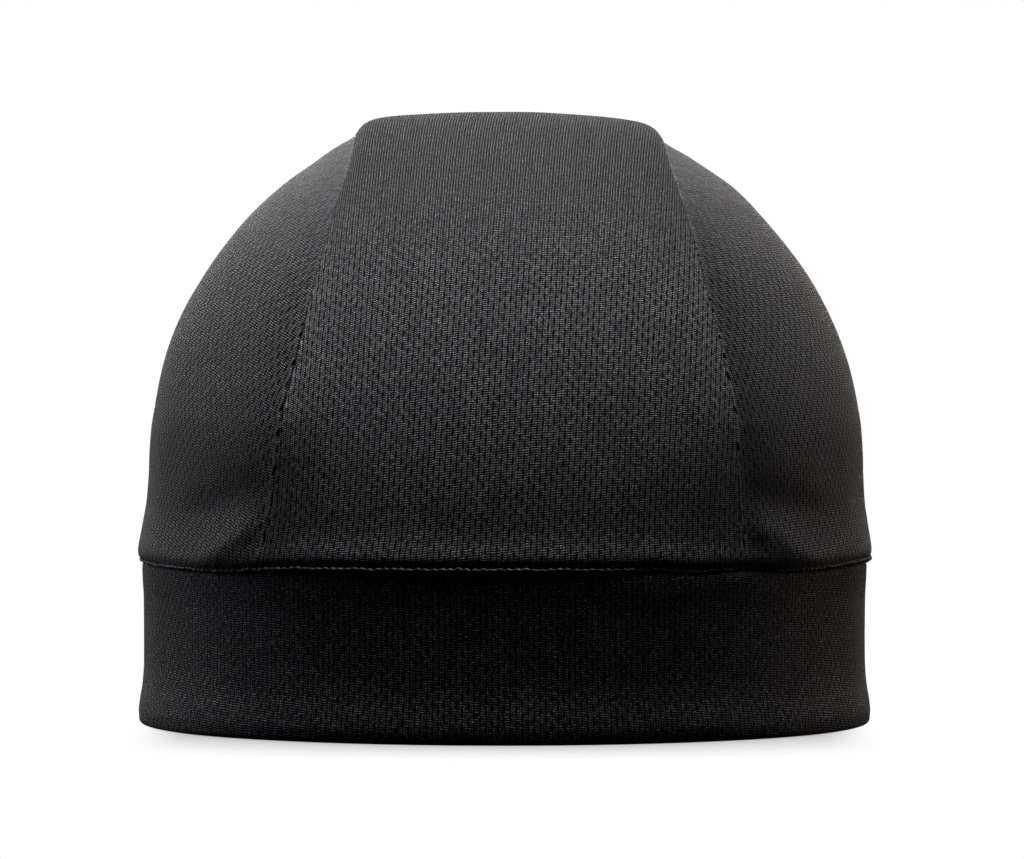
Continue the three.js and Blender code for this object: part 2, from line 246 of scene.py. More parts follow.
# Gain and base of the knit's tones and of its fibres' roughness
WALE_TONES = (-0.4, 0.95)
RUNG_TONES = (0.6, 0.5)
LOOP_TONES = (0.3, 0.85)
TOP_FIBER_TONES = (1.0, 0.5)
TOP_LOOP_TONES = (0.4, 0.8)
FIBER_ROUGHNESS = (0.2, 0.65)
CALM_TONE = 0.95

# How each cloth looks. Gape: how far its holes open where it turns away. Depth: how dark they are.
# Calm: how far its loops' tones are evened out. Gain: how light they are. Top: over the top, the tone,
# the share of bright lines and how far they dim where it turns away. Sparkle: how sharply its fibres'
# tones differ, with their gain and base. Sheen: its soft shine
CENTER_LOOK = {
    "gape": 0.4,
    "depth": 0.87,
    "calm": 0.0,
    "gain": 1.22,
    "top": (0.87, 0.9, 0.33),
    "sparkle": (1.3, 1.4, 0.4),
    "sheen": 0.05,
}
SIDE_LOOK = {
    "gape": 0.7,
    "depth": 1.0,
    "calm": 0.3,
    "gain": 1.06,
    "top": (1.3, 0.4, 0.0),
    "sparkle": (1.3, 1.4, 0.4),
    "sheen": 0.08,
}
BAND_LOOK = {
    "gape": 0.7,
    "depth": 1.0,
    "calm": 0.0,
    "gain": 1.0,
    "top": (1.0, 1.0, 0.0),
    "sparkle": (2.0, 2.1, 0.3),
    "sheen": 0.08,
}

# How plainly the seams show, between two heights, and where the cap's left and right part
SEAM_PLAIN = (114.0, 88.0)
SEAM_LEAST = 0.3
SIDES_PART = 10.0

# Needle holes: distance from the seam, half width, half length in stitches, soft edge, unevenness,
# and shade on the left and on the right
SLIT_AT = 0.3
SLIT_WIDTH = 0.42
SLIT_LENGTH = 0.24
SLIT_EDGE = (1.3, 0.4)
SLIT_WANDER = (0.4, 2.4)
SLIT_SHADE = (1.0, 0.2)

# Painted highlights on the seams' turned edges, where they catch the light: distance from the seam, reach,
# and strength on the left and on the right
CENTER_EDGE_HIGHLIGHT = (0.9, 0.5, (5.1, 1.8))
SIDE_EDGE_HIGHLIGHT = (0.34, 0.17, (6.6, 14.4))
NUB_SCALE = 1.3
NUB_SHARPNESS = 3.0

# The centre panel's painted shade beside the seams' feet: reach, heights, and strength on the left and
# right
FOOT_SHADE_REACH = 13.0
FOOT_SHADE_HEIGHT = (82.0, 62.0)
FOOT_SHADE = (0.6, 0.3)

# The side panels' painted shade and sheen: the turn and the heights between which it changes, and gain and
# base of its tones
PAINTED_SHEEN_TURN = (0.25, 0.7)
PAINTED_LIGHT_HEIGHT = (60.0, 100.0)
LEFT_PAINTED_SHEEN = (0.2, 0.9)
LEFT_PAINTED_LIGHT_BY_HEIGHT = (0.2, 0.92)
RIGHT_PAINTED_SHEEN = (0.45, 0.64)

# Yarn: its strands along and around, its relief, and gain and base of its tones and roughness
STRANDS = (5.0, 1.6)
FRIZZ_DETAIL = 3.0
YARN_RELIEF = 0.12
PLY_TONES = (0.95, 0.05)
FRIZZ_TONES = (1.6, 0.2)
STRAND_TONES = (2.2, 0.25)
YARN_ROUGHNESS = (0.3, 0.5)

# How each cloth lies: width of a column, length of a repeat, then lean of the columns and rise of the
# courses in degrees
CENTER_LAY = (1.3, 3.4, 3.0, 6.0)
SIDE_LAY = {-1: (1.36, 3.4, 0.0, -16.0), 1: (1.36, 3.4, 5.0, 7.0)}
BAND_LAY = (1.36, 3.4, 0.0, 4.5)

# How far the centre panel's columns keep their width across the cap instead of along the cloth
LEVEL_SHARE = 0.75

# The side panels' rows, worked level over the stretched cloth: tilt in degrees, height of a repeat
SIDE_ROWS = {-1: (29.6, 3.42), 1: (-3.6, 3.22)}

# Colours, and the shares of red, green and blue in the cool and the warm fibres
CROWN_COLOR = (0.07, 0.07, 0.073)
BAND_COLOR = (0.065, 0.065, 0.07)
# The welt's colour: the yarn's own dark tone, lightened with painted light where it catches the light in
# the crease
WELT_COLOR_WITH_PAINTED_LIGHT = (0.13, 0.13, 0.133)
THREAD_COLOR = (0.035, 0.035, 0.037)
COOL = (0.82, 0.97, 1.24)
WARM = (1.18, 1.02, 0.77)
WHITE = (1.0, 1.0, 1.0, 1.0)
BLACK = (0.0, 0.0, 0.0, 1.0)


# Tables and curves


def read_table(places, values, at):
    """Values on a smooth curve through a table's rows that never overshoots them."""
    x = np.asarray(places, float)
    y = np.asarray(values, float)
    slope = np.diff(y) / np.diff(x)
    before, after = slope[:-1], slope[1:]
    product = before * after
    total = np.where(before + after == 0, 1, before + after)
    inner = np.where(product > 0, 2 * product / total, 0)
    tangent = np.concatenate([slope[:1], inner, slope[-1:]])
    at = np.clip(at, x[0], x[-1])
    i = np.clip(np.searchsorted(x, at, side="right") - 1, 0, len(x) - 2)
    span = x[i + 1] - x[i]
    t = (at - x[i]) / span
    s = 1 - t
    ends = y[i] * s * s * (1 + 2 * t) + y[i + 1] * t * t * (1 + 2 * s)
    return ends + tangent[i] * span * t * s * s - tangent[i + 1] * span * t * t * s


def bump(distance, reach):
    return np.exp(-((distance / reach) ** 2))


def unit(vectors):
    return vectors / np.linalg.norm(vectors, axis=-1, keepdims=True)


def lengths_along(points, axis=0):
    """The length from the start of a path, or of each row of a grid, to each of its points."""
    step = np.linalg.norm(np.diff(points, axis=axis), axis=-1)
    start = np.zeros_like(np.take(step, [0], axis=axis))
    return np.concatenate([start, np.cumsum(step, axis=axis)], axis=axis)


def ripple(place, pitch, phase):
    """A soft irregular wave along a length, from about -1 to 1."""
    turn = 2 * np.pi * place / pitch
    out = 0
    for rate, share, shift, strength in RIPPLE_WAVES:
        out = out + strength * np.sin(rate * turn + share * phase + shift)
    return out / sum(wave[-1] for wave in RIPPLE_WAVES)


def waver(place, ripples):
    return sum(strength * ripple(place, pitch, phase) for strength, pitch, phase in ripples)


def slack(points, seed):
    """The slight unevenness of a slack knit, from about -1 to 1."""
    x, y, z = np.moveaxis(points, -1, 0)
    waves = [np.sin(a * x + b * y + c * z + share * seed + shift) for a, b, c, share, shift in SLACK_WAVES]
    return sum(waves) / len(SLACK_WAVES)


# The crown's smooth surface


def front_angle(angle):
    return np.where(angle > 90, 180 - angle, angle)


def half_width(angle, side):
    table = CENTER_PANEL
    return read_table(table["angle"], table[side], front_angle(angle))


def center_profile(up):
    """How far forward the centre line is at a share of the crown's rise."""
    return np.maximum(1 - up**CROWN_ROUNDING, 0) ** (1 / CROWN_ROUNDING)


def center_line(angle, side):
    """At an angle up the centre line: point, outward normal, drop to the seam, share of sharp edge."""
    a = front_angle(angle)
    up = np.sin(np.radians(np.maximum(a, 0)))
    foot = np.minimum(a, 0) / -LOWEST_ANGLE * (CROWN_START - FOOT_HEIGHT)
    way = np.where(angle > 90, -1, 1)
    forward = center_profile(up)
    zero = np.zeros_like(up)
    point = np.stack([zero, -way * CROWN_HALF_DEPTH * forward, CROWN_START + CROWN_RISE * up + foot], -1)
    bend = CROWN_ROUNDING - 1
    normal = unit(np.stack([zero, -way * forward**bend / CROWN_HALF_DEPTH, up**bend / CROWN_RISE], -1))
    top = SEAM_DROP_TOP[side]
    drop = top + (SEAM_DROP_FOOT - top) * (1 - up) ** DROP_EASING
    return point, normal, drop, EDGE_SHARE[side] * up**EDGE_EASING


def center_surface(angle, across, side):
    """Points of the centre panel's half on one side; across runs from 0 to 1 at the seam."""
    point, normal, drop, edge = center_line(angle, side)
    share = (1 - edge) * across**ROLL_OVER + edge * across**EDGE_ROLL_OVER
    point = point - normal * (drop * share)[..., None]
    point[..., 0] = side * across * half_width(angle, side)
    return point


def side_surface(side, angle, along):
    """Points of a side panel; along runs from -1 at the front seam to 1 at the back seam."""
    seam = center_surface(angle, np.ones_like(angle), side)
    crest = center_surface(np.array(90.0), np.array(1.0), side)
    heights = SIDE_PROFILE["height"] + [crest[2]]
    outline = read_table(heights, SIDE_PROFILE[side] + [abs(crest[0])], seam[..., 2])
    widest = np.maximum(outline, abs(seam[..., 0]) + LEAST_ARC)
    seam_turn = np.arccos(abs(seam[..., 0]) / widest)
    half_depth = abs(seam[..., 1]) / np.sin(seam_turn)
    turn = seam_turn * along
    return np.stack([side * widest * np.cos(turn), half_depth * np.sin(turn), seam[..., 2]], -1)


def seam_line(side):
    """Corners of the seam between the centre panel and one side panel, from front foot to back foot."""
    angle = np.linspace(LOWEST_ANGLE, 180 - LOWEST_ANGLE, SEAM_CORNERS)
    return center_surface(angle, np.ones_like(angle), side)


def nearest_on_line(points, line):
    """Distance from each point to a line of corners, and the length along the line to its foot there."""
    flat = points.reshape(-1, 3)
    best = np.full(len(flat), np.inf)
    place = np.zeros(len(flat))
    start = 0.0
    for a, b in zip(line[:-1], line[1:]):
        way = b - a
        length = np.linalg.norm(way)
        t = np.clip((flat - a) @ way / length**2, 0, 1)
        gap = np.linalg.norm(flat - a - t[:, None] * way, axis=1)
        closer = gap < best
        best[closer] = gap[closer]
        place[closer] = start + t[closer] * length
        start += length
    return best.reshape(points.shape[:-1]), place.reshape(points.shape[:-1])


def turn_of(points):
    return np.degrees(np.arctan2(points[..., 0] / CROWN_HALF_WIDTH, -points[..., 1] / CROWN_HALF_DEPTH))


def edge_relief(distance, place, is_center):
    """A panel's rolled edge: a groove, then a fine ridge, scalloped by stitches on the centre panel."""
    rows = CENTER_EDGE if is_center else SIDE_EDGE
    out = sum(amount * bump(distance - at, reach) for at, reach, amount in rows)
    if is_center:
        at, reach, amount = SCALLOP
        swell = 0.5 + 0.5 * np.cos(2 * np.pi * place / STITCH)
        out = out + amount * swell * bump(distance - at, reach)
    return out


def relief(points, distance, place, is_center):
    """How far the cloth stands off the smooth crown."""
    z = points[..., 2]
    turn = turn_of(points)
    dip = read_table(SEAM_DIP["height"], SEAM_DIP["depth"], z)
    side_share = np.sin(np.radians(turn)) ** 2
    out = side_share * read_table(BULGE["height"], BULGE["side"], z)
    out = out + (1 - side_share) * read_table(BULGE["height"], BULGE["front"], z)
    out = out - dip * bump(distance, SEAM_DIP_REACH)
    if not is_center:
        fade = 1 - bump(distance, FOLD_FADE)
        for fold_turn, height, climb, length, reach, amount in FOLDS:
            off = turn - fold_turn
            out = out + fade * amount * bump(off, length) * bump(z - height - climb * off, reach)
    share = read_table(SEAM_WORK["height"], SEAM_WORK["share"], z) * np.where(turn > 0, RIGHT_SHARE, 1.0)
    out = out + edge_relief(distance, place, is_center) * share
    puckers = ripple(place, PUCKER_PITCH, PUCKER_PHASE) * bump(distance - PUCKER_AT, PUCKER_REACH)
    out = out + PUCKER * puckers
    return out + SLACK * slack(points, CROWN_SEED)


def sagged(points):
    """Finished points moved down as far as the seam above the band sags there."""
    x, y, z = np.moveaxis(points, -1, 0)
    turn = np.degrees(np.arctan2(x / CROWN_HALF_WIDTH, abs(y) / CROWN_HALF_DEPTH))
    down = read_table(SEAM_SAG["turn"], SEAM_SAG["down"], turn) * bump(z - BAND_TOP, SAG_REACH)
    return np.stack([x, y, z - down], -1)


# Cloth meshes


def grid_normals(points):
    """Normals of a grid of points, turned away from the cap's middle."""
    along = np.gradient(points, axis=0)
    across = np.gradient(points, axis=1)
    normal = unit(np.cross(along, across))
    outward = points - np.array([0, 0, CROWN_START])
    flip = np.sign((normal * outward).sum(-1).mean())
    return normal * flip


def row_angles():
    """Angles up the front slope, about one step of cloth apart and closer at the foot."""
    fine = np.radians(np.linspace(0, SIDE_TOP_ANGLE, SLOPE_CORNERS))
    up = np.sin(fine)
    length = lengths_along(np.stack([CROWN_HALF_DEPTH * center_profile(up), CROWN_RISE * up], -1))
    rows = int(length[-1] / ROW_STEP)
    slope = np.degrees(np.interp(np.linspace(0, length[-1], rows), length, fine))
    foot = np.linspace(LOWEST_ANGLE, 0, FOOT_STEPS, endpoint=False)
    return np.concatenate([foot, slope])


def cross_distances(half_length, count):
    """Distances from a seam to the middle, for each row's half length: close together at the seam."""
    near = np.minimum(1, half_length / NEAR_SEAM_ROOM)[:, None] * NEAR_SEAM[None, :]
    rest = near[:, -1:] + (half_length[:, None] - near[:, -1:]) * np.linspace(0, 1, count)[None, 1:]
    distances = np.concatenate([near, rest], 1)
    return distances + SEAM_GAP / 2 * (1 - np.linspace(0, 1, distances.shape[1]))


def smooth_half(side):
    """The centre panel's smooth half on one side: rows over the top, each from the seam to the middle."""
    front = row_angles()
    angles = np.concatenate([front, [90.0], 180 - front[::-1]])
    width = half_width(angles, side)
    count = int(CENTER_PANEL[side][0] / CROSS_STEP)
    across = np.clip(1 - cross_distances(width, count) / width[:, None], 0, 1)
    return center_surface(np.repeat(angles[:, None], across.shape[1], 1), across, side)


def smooth_side(side):
    """A side panel's smooth points: rows up the crown, each from the front seam to the back seam."""
    angles = row_angles()[:, None]
    fine = np.linspace(-1, 0, ARC_CORNERS)
    sweep = np.repeat(fine[None], len(angles), 0)
    arc = lengths_along(side_surface(side, np.repeat(angles, ARC_CORNERS, 1), sweep), axis=1)
    count = int(arc[:, -1].max() / CROSS_STEP)
    distances = cross_distances(arc[:, -1], count)
    along = np.stack([np.interp(*row, fine) for row in zip(distances, arc)])
    along = np.concatenate([along, -along[:, -2::-1]], 1)
    return side_surface(side, np.repeat(angles, along.shape[1], 1), along)


def shared_normals(side):
    """The direction that both panels share at one seam's front half and back half, by rows."""
    center = smooth_half(side)
    flank = smooth_side(side)
    rows = len(flank)
    center_edge = grid_normals(center)[:, 0]
    flank_normals = grid_normals(flank)
    front = unit(center_edge[:rows] + flank_normals[:, 0])
    back = unit(center_edge[::-1][:rows] + flank_normals[:, -1])
    return front, back


def dress(points, side, shared, is_center):
    """Outer face, inner face and seam coordinates of the cloth over a grid of smooth points."""
    distance, place = nearest_on_line(points, SEAM_LINES[side])
    own = grid_normals(points)
    lean = bump(distance, SEAM_BLEND_REACH)[..., None]
    direction = unit(own * (1 - lean) + shared * lean)
    outer = points + direction * relief(points, distance, place, is_center)[..., None]
    level = np.where(points[..., 2:3] < FOOT_HEIGHT + FOOT_MARGIN, [1, 1, 0], [1, 1, 1])
    inner = outer - unit(direction * level) * KNIT
    return sagged(outer), sagged(inner), np.stack([distance, place], -1)


def quads_of(rows, columns):
    index = np.arange(rows * columns).reshape(rows, columns)
    return np.stack([index[:-1, :-1], index[:-1, 1:], index[1:, 1:], index[1:, :-1]], -1).reshape(-1, 4)


def outward(points, faces):
    """Quads of a closed mesh, turned so that they face out of it."""
    a, b, c, d = (points[faces[:, k]] for k in range(4))
    volume = (a * np.cross(b, c)).sum() + (a * np.cross(c, d)).sum()
    return faces if volume > 0 else faces[:, ::-1]


def cloth_object(name, points, faces, maps):
    """An object of quads, with named UV maps that give a pair of values for each corner of each face."""
    mesh = bpy.data.meshes.new(name)
    mesh.from_pydata((points * MM).tolist(), [], faces.tolist())
    for map_name, corners in maps.items():
        mesh.uv_layers.new(name=map_name).data.foreach_set("uv", corners.ravel())
    mesh.shade_smooth()
    made = bpy.data.objects.new(name, mesh)
    bpy.context.collection.objects.link(made)
    return made


def shell_object(name, outer, inner, maps):
    """A closed cloth of two faces and an edge all round."""
    rows, columns = outer.shape[:2]
    inside = rows * columns
    index = np.arange(inside).reshape(rows, columns)
    rim = np.concatenate([index[0, :-1], index[:-1, -1], index[-1, :0:-1], index[:0:-1, 0]])
    rim_next = np.roll(rim, -1)
    sheet = quads_of(rows, columns)
    edge = np.stack([rim, rim + inside, rim_next + inside, rim_next], -1)
    points = np.concatenate([outer.reshape(-1, 3), inner.reshape(-1, 3)])
    faces = outward(points, np.concatenate([sheet, sheet[:, ::-1] + inside, edge]))
    corners = {key: grid.reshape(-1, 2)[faces.ravel() % inside] for key, grid in maps.items()}
    return cloth_object(name, points, faces, corners)


def ring_object(name, points, along, across):
    """A closed tube through rings of points, with the places along and across it as its knit map."""
    rings, count = points.shape[:2]
    i, k = np.meshgrid(np.arange(rings), np.arange(count), indexing="ij")
    j, m = (i + 1) % rings, (k + 1) % count
    faces = np.stack([i * count + k, j * count + k, j * count + m, i * count + m], -1).reshape(-1, 4)
    faces = outward(points.reshape(-1, 3), faces)
    ring, place = faces // count, faces % count
    last = (ring.max(1) == rings - 1)[:, None] & (ring == 0)
    corners = np.stack([along[np.where(last, rings, ring)], across[place]], -1)
    return cloth_object(name, points.reshape(-1, 3), faces, {"knit": corners})


# Knit coordinates: columns across, repeats along


def lattice(u, v, lay):
    """Columns and repeats at u, v in mm, for cloth that lies as given."""
    column, repeat, lean, rise = lay
    wale = np.array([math.sin(math.radians(lean)), math.cos(math.radians(lean))])
    course = np.array([math.cos(math.radians(rise)), math.sin(math.radians(rise))])
    back = np.linalg.inv(np.stack([course * column, wale * repeat], 1))
    return np.stack([back[0, 0] * u + back[0, 1] * v, back[1, 0] * u + back[1, 1] * v], -1)


def center_knit(points):
    """The centre panel's cloth lies with its columns up its length."""
    across = lengths_along(points, axis=1)
    middle = points.shape[1] // 2
    across = across - across[:, middle : middle + 1]
    across = across + (points[..., 0] - across) * LEVEL_SHARE
    length = lengths_along(points[:, middle])
    return lattice(across, np.repeat(length[:, None], points.shape[1], 1), CENTER_LAY)


def side_knit(points, side):
    """A side panel's cloth is laid flat from the middle of its side outwards."""
    radii = np.array([CROWN_HALF_WIDTH, CROWN_HALF_DEPTH, CROWN_RISE])
    sphere = unit((points - np.array([0, 0, CROWN_START])) / radii)
    away = np.arccos(np.clip(side * sphere[..., 0], -1, 1))
    spread = np.maximum(np.hypot(sphere[..., 1], sphere[..., 2]), 1e-6)
    u = side * CROWN_HALF_DEPTH * away * sphere[..., 1] / spread
    v = CROWN_RISE * away * sphere[..., 2] / spread
    columns = lattice(u, v, SIDE_LAY[side])[..., 0]
    tilt, repeat = SIDE_ROWS[side]
    height = points[..., 0] * math.sin(math.radians(tilt)) + points[..., 2] * math.cos(math.radians(tilt))
    return np.stack([columns, height / repeat], -1)


# Pieces


SEAM_LINES = {side: seam_line(side) for side in (-1, 1)}
SHARED = {side: shared_normals(side) for side in (-1, 1)}


def make_center_panel():
    halves = []
    for side in (-1, 1):
        points = smooth_half(side)
        front, back = SHARED[side]
        shared = np.concatenate([front, unit(front[-1:] + back[-1:]), back[::-1]])
        grids = (points, *dress(points, side, shared[:, None, :], True))
        halves.append(grids if side < 0 else [grid[:, -2::-1] for grid in grids])
    smooth, outer, inner, seam = (np.concatenate(pair, 1) for pair in zip(*halves))
    return shell_object("center_panel_knit", outer, inner, {"knit": center_knit(smooth), "seam": seam})


def make_side_panel(name, side):
    points = smooth_side(side)
    front, back = SHARED[side]
    middle = points.shape[1] // 2
    shared = np.repeat(front[:, None, :], points.shape[1], 1)
    shared[:, middle:] = back[:, None, :]
    outer, inner, seam = dress(points, side, shared, False)
    return shell_object(name, outer, inner, {"knit": side_knit(points, side), "seam": seam})


def ellipse(count):
    """Round the band's ellipse: points, outward directions, and the lengths to them and all round."""
    angle = np.linspace(0, 2 * np.pi, count, endpoint=False)
    cos, sin = np.cos(angle), np.sin(angle)
    ring = np.stack([BAND_HALF_WIDTH * cos, BAND_HALF_DEPTH * sin, np.zeros(count)], -1)
    away = unit(np.stack([cos / BAND_HALF_WIDTH, sin / BAND_HALF_DEPTH, np.zeros(count)], -1))
    return ring, away, lengths_along(np.concatenate([ring, ring[:1]]))


def band_path():
    """The folded cloth's own face: down the outside, round the hem and up the inside, with its normals."""
    top = BAND_PROFILE["height"][-1]
    fold = BAND_PROFILE["height"][0]
    near_top = [top - step for step in BAND_EDGE_STEPS]
    below = np.arange(top - BAND_FIRST_STEP, fold + FOLD_ROOM, -BAND_STEP)
    heights = np.concatenate([near_top, below, [fold]])
    out = read_table(BAND_PROFILE["height"], BAND_PROFILE["out"], heights)
    wall = np.stack([out, heights], -1)
    turn = np.radians(np.linspace(0, -180, FOLD_STEPS)[1:-1])
    round_way = np.stack([np.cos(turn), np.sin(turn)], -1)
    hem = np.array([out[-1] - KNIT, fold]) + KNIT * round_way
    lining = wall[::-1] - np.array([2 * KNIT, 0])
    sides = np.array([1.0, 0.0])
    ways = np.concatenate([np.tile(sides, (len(wall), 1)), round_way, np.tile(-sides, (len(wall), 1))])
    return np.concatenate([wall, hem, lining]), ways


def make_band():
    """The band is one cloth folded at the hem, its two layers all but touching."""
    face, ways = band_path()
    hidden = face - ways * (KNIT - LAYER_GAP / 2)
    section = np.concatenate([face, hidden[::-1]])
    ring, away, length = ellipse(BAND_RINGS)
    points = ring[:, None] + away[:, None] * section[None, :, :1]
    points[..., 2] = section[:, 1]
    height = section[:, 1]
    above_hem = np.clip((height - HEM_FADE[0]) / HEM_FADE[1], 0, 1)
    below_seam = np.clip((SEAM_FADE[0] - height) / SEAM_FADE[1], 0, 1)
    wave = slack(ring[:, None] + np.stack([0 * height, 0 * height, height], -1), BAND_SEED)
    points = points + away[:, None] * (SLACK * above_hem * below_seam * wave)[..., None]
    down = lengths_along(face)
    down = np.concatenate([down, down[::-1]])
    columns = 2 * round(length[-1] / BAND_LAY[0] / 2)
    return sagged(points), length / length[-1] * columns, down


def make_band_object():
    points, along, down = make_band()
    band = ring_object("band_knit", points, along, down)
    layer = band.data.uv_layers["knit"].data
    values = np.empty(len(layer) * 2)
    layer.foreach_get("uv", values)
    values = values.reshape(-1, 2)
    turns = values[:, 0] / along[-1]
    column, repeat, _, rise = BAND_LAY
    climbs = round(along[-1] * column * math.tan(math.radians(rise)) / repeat)
    values[:, 1] = -values[:, 1] / repeat + turns * climbs
    layer.foreach_set("uv", values.ravel())
    return band


def make_welt():
    """The turned edge in the crease between crown and band: a thin, slightly wavy cord."""
    ring, away, length = ellipse(WELT_RINGS)
    place = length[:-1]
    turn = turn_of(ring)
    swell = read_table(WELT["turn"], WELT["radius"], turn)
    out = read_table(WELT["turn"], WELT["out"], turn) + waver(place, WELT_WAVER["out"])
    path = ring + away * out[:, None]
    path[:, 2] = WELT_HEIGHT + waver(place, WELT_WAVER["up"])
    around = np.linspace(0, 2 * np.pi, WELT_SPOKES, endpoint=False)
    twist = 2 * np.pi * place[:, None] / WELT_TWIST + around
    radius = swell[:, None] * (1 + WELT_PLY * np.cos(twist) + waver(place, WELT_WAVER["thick"])[:, None])
    up = np.array([0.0, 0.0, 1.0])
    spokes = away[:, None] * np.cos(around)[None, :, None] + up * np.sin(around)[None, :, None]
    points = sagged(path)[:, None] + spokes * radius[..., None]
    return ring_object("band_seam_welt", points, length, around)


def make_seam_thread(name, side):
    """The sewing thread that lies sunk in a crown seam, down at each stitch."""
    line = SEAM_LINES[side]
    length = lengths_along(line)
    place = np.arange(THREAD_END, length[-1] - THREAD_END, THREAD_STEP)
    path = np.stack([np.interp(place, length, line[:, k]) for k in range(3)], -1)
    along = unit(np.gradient(path, axis=0))
    beside = unit(np.cross(along, path - THREAD_FACES_FROM))
    out = np.cross(beside, along)
    sunk = relief(path, np.zeros(len(path)), place, True) - THREAD_DEPTH
    path = sagged(path + out * (sunk + THREAD_DIP * np.cos(2 * np.pi * place / STITCH))[:, None])
    around = np.linspace(0, 2 * np.pi, THREAD_SPOKES, endpoint=False)
    spokes = beside[:, None] * np.cos(around)[None, :, None] + out[:, None] * np.sin(around)[None, :, None]
    radius = np.full(len(place), THREAD_RADIUS)
    radius[[0, -1]] = THREAD_TIP
    points = path[:, None] + spokes * radius[:, None, None]
    rings, count = points.shape[:2]
    i, k = np.meshgrid(np.arange(rings - 1), np.arange(count), indexing="ij")
    m = (k + 1) % count
    sleeve = np.stack([i * count + k, (i + 1) * count + k, (i + 1) * count + m, i * count + m], -1)
    faces = outward(points.reshape(-1, 3), sleeve.reshape(-1, 4))
    corners = np.stack([place[faces // count], around[faces % count]], -1)
    thread = cloth_object(name, points.reshape(-1, 3), faces, {"knit": corners})
    close_ends(thread)
    return thread


def close_ends(tube):
    work = bmesh.new()
    work.from_mesh(tube.data)
    bmesh.ops.holes_fill(work, edges=work.edges, sides=0)
    bmesh.ops.recalc_face_normals(work, faces=work.faces)
    work.to_mesh(tube.data)
    work.free()
    tube.data.shade_smooth()


# Materials


class Nodes:
    """Short words for building a node tree."""

    def __init__(self, material):
        material.use_nodes = True
        self.tree = material.node_tree
        self.tree.nodes.clear()

    def add(self, kind, **settings):
        node = self.tree.nodes.new(kind)
        for name, value in settings.items():
            setattr(node, name, value)
        return node

    def feed(self, socket, value):
        if isinstance(value, bpy.types.NodeSocket):
            self.tree.links.new(value, socket)
        else:
            socket.default_value = value

    def math(self, operation, *values):
        node = self.add("ShaderNodeMath", operation=operation)
        for socket, value in zip(node.inputs, values):
            self.feed(socket, value)
        return node.outputs[0]

    def times(self, value, gain, base=0.0):
        return self.math("MULTIPLY_ADD", value, gain, base)

    def product(self, first, *others):
        for other in others:
            first = self.math("MULTIPLY", first, other)
        return first

    def ratio(self, value, size, power):
        """A value's share of a size, raised to a power."""
        return self.math("POWER", self.math("DIVIDE", value, size), power)

    def bell(self, value, reach):
        """1 where the value is 0, and softly less within a reach of it."""
        return self.math("EXPONENT", self.times(self.ratio(value, reach, 2.0), -1.0))

    def soft_step(self, value, low, high):
        node = self.add("ShaderNodeMapRange", interpolation_type="SMOOTHSTEP")
        for name, given in (("Value", value), ("From Min", low), ("From Max", high)):
            self.feed(node.inputs[name], given)
        return node.outputs["Result"]

    def mix(self, kind, factor, a, b):
        """A mix of two colours, of kind RGBA, or of two values, of kind FLOAT."""
        node = self.add("ShaderNodeMix", data_type=kind)
        for name, given in (("Factor", factor), ("A", a), ("B", b)):
            socket = next(s for s in node.inputs if s.name == name and s.enabled)
            self.feed(socket, given)
        return next(s for s in node.outputs if s.enabled)

    def scale_color(self, color, gain):
        node = self.add("ShaderNodeVectorMath", operation="SCALE")
        self.feed(node.inputs[0], color)
        self.feed(node.inputs["Scale"], gain)
        return node.outputs[0]

    def pair(self, u, v):
        node = self.add("ShaderNodeCombineXYZ")
        self.feed(node.inputs["X"], u)
        self.feed(node.inputs["Y"], v)
        return node.outputs[0]

    def uv_parts(self, name):
        uv = self.add("ShaderNodeUVMap", uv_map=name).outputs["UV"]
        split = self.add("ShaderNodeSeparateXYZ")
        self.feed(split.inputs[0], uv)
        return uv, split.outputs["X"], split.outputs["Y"]

    def place(self, axis):
        """Where the shaded point lies along one axis of the cap, in metres."""
        split = self.add("ShaderNodeSeparateXYZ")
        self.feed(split.inputs[0], self.add("ShaderNodeTexCoord").outputs["Object"])
        return split.outputs[axis]

    def step_along(self, axis, low, high):
        """A soft step along one axis of the cap, between two places in millimetres."""
        return self.soft_step(self.place(axis), low * MM, high * MM)

    def facing(self):
        """0 where the surface is seen straight on, and 1 where it turns away."""
        return self.add("ShaderNodeLayerWeight").outputs["Facing"]

    def noise(self, vector, scale, detail=2.0):
        node = self.add("ShaderNodeTexNoise")
        node.inputs["Scale"].default_value = scale
        node.inputs["Detail"].default_value = detail
        self.feed(node.inputs["Vector"], vector)
        return node.outputs["Fac"]

    def wander(self, vector, scale, strength):
        """Slow noise, as much below zero as above it."""
        return self.times(self.noise(vector, scale), strength, -strength / 2)

    def cell_noise(self, vector):
        node = self.add("ShaderNodeTexWhiteNoise", noise_dimensions="2D")
        self.feed(node.inputs["Vector"], vector)
        return node.outputs["Value"], node.outputs["Color"]

    def bump_normal(self, height, distance):
        node = self.add("ShaderNodeBump")
        node.inputs["Distance"].default_value = distance * MM
        self.feed(node.inputs["Height"], height)
        return node.outputs["Normal"]

    def finish(self, shader):
        out = self.add("ShaderNodeOutputMaterial")
        self.feed(out.inputs["Surface"], shader)


